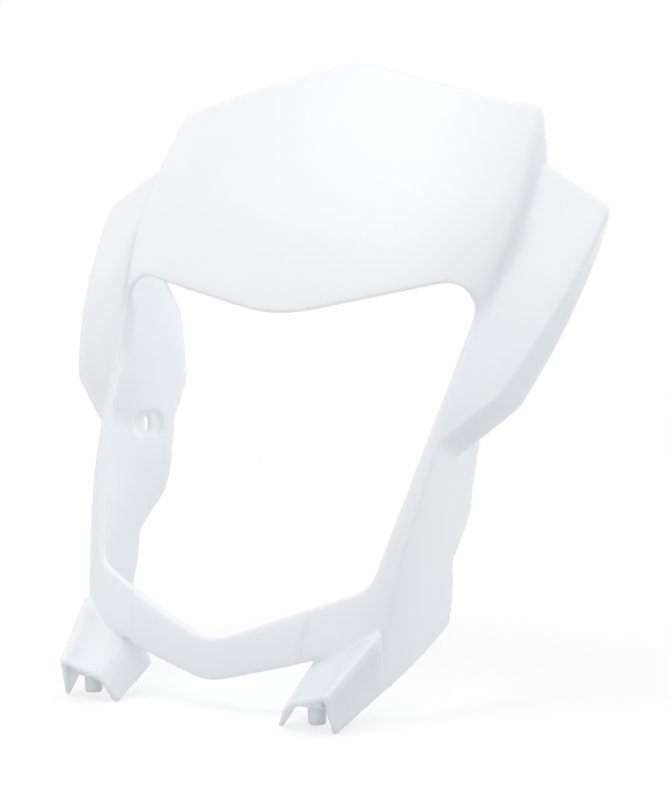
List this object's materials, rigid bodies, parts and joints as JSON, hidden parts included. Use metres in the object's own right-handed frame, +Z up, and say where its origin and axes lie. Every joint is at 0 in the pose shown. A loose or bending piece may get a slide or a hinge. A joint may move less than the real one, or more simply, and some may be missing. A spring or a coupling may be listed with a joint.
{
  "type": "motorcycle headlight mask",
  "caption": "One-piece thin moulded motorcycle headlight mask: raked brow, side wings, cheeks, chin bar and channel feet round an open lamp window.",
  "frame": {"origin": "centre of the bounding box's bottom face, level with the tips of the two feet", "axes": "+X to the motorcycle's left side as the picture is seen, the mask being mirrored about X=0; +Y to the rear, into the picture; +Z up"},
  "size_m": [0.2714, 0.1478, 0.2838],
  "materials": {
    "shell": "satin white moulded ABS"
  },
  "bodies": {
    "root": {"headlight_mask": "shell"}
  },
  "joints": []
}
